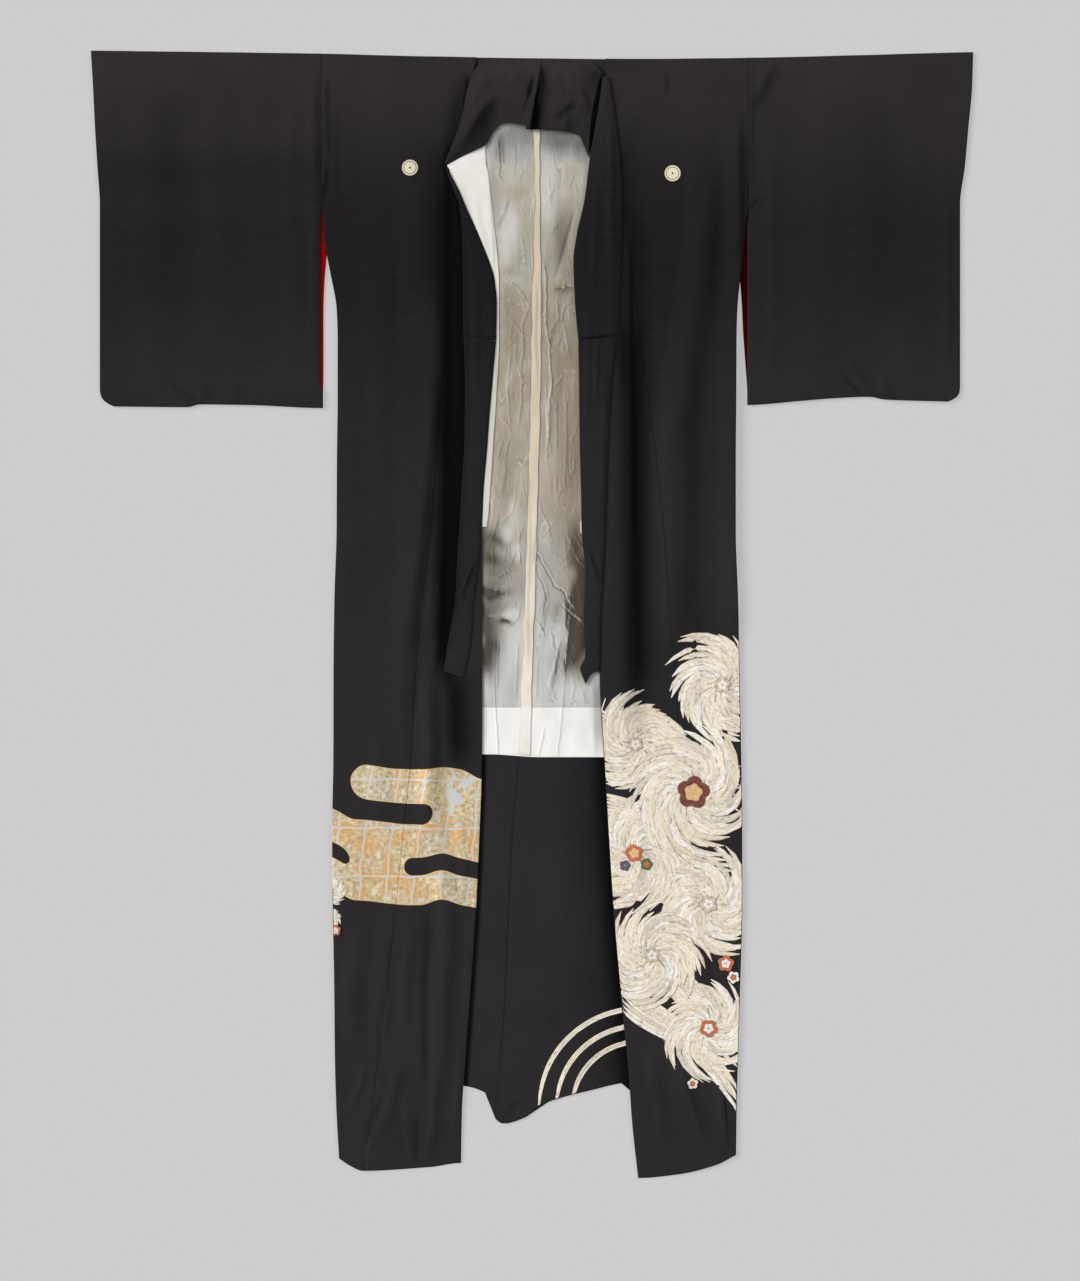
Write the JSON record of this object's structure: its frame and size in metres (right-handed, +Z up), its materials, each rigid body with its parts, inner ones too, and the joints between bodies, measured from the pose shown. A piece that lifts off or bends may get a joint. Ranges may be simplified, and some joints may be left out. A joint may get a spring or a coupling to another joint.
{
  "type": "tomesode kimono",
  "caption": "Formal black silk kimono laid out flat and open, with a painted hem design, small roundels, square sleeves and a pale lining.",
  "frame": {"origin": "centre of the garment's box on the surface that it lies on", "axes": "+X across the sleeves towards the wearer's left, +Y from hem to shoulders, +Z up from the surface"},
  "size_m": [1.28, 1.636, 0.0191],
  "materials": {
    "black_silk": "matte silk crepe, black, with painted and gold leaf design near the hem",
    "thin_white_silk": "thin plain silk lining, dark cloth showing through",
    "white_silk": "plain white silk lining",
    "cream_silk": "plain cream silk tape",
    "red_silk": "plain bright red silk lining"
  },
  "bodies": {
    "root": {"body_right": "black_silk", "body_left": "black_silk", "okumi_right": "black_silk", "okumi_left": "black_silk", "sleeve_right": "black_silk", "sleeve_left": "black_silk", "sleeve_lining_right": "red_silk", "sleeve_lining_left": "red_silk", "back_lining_right": "thin_white_silk", "back_lining_left": "thin_white_silk", "lining_band_right": "white_silk", "lining_band_left": "white_silk", "hem_lining_right": "black_silk", "hem_lining_left": "black_silk", "centre_tape": "cream_silk", "over_collar_back": "black_silk", "over_collar_right": "black_silk", "over_collar_left": "black_silk", "collar_right": "black_silk", "collar_left": "black_silk", "collar_lining_right": "white_silk", "collar_lining_left": "white_silk"}
  },
  "joints": []
}
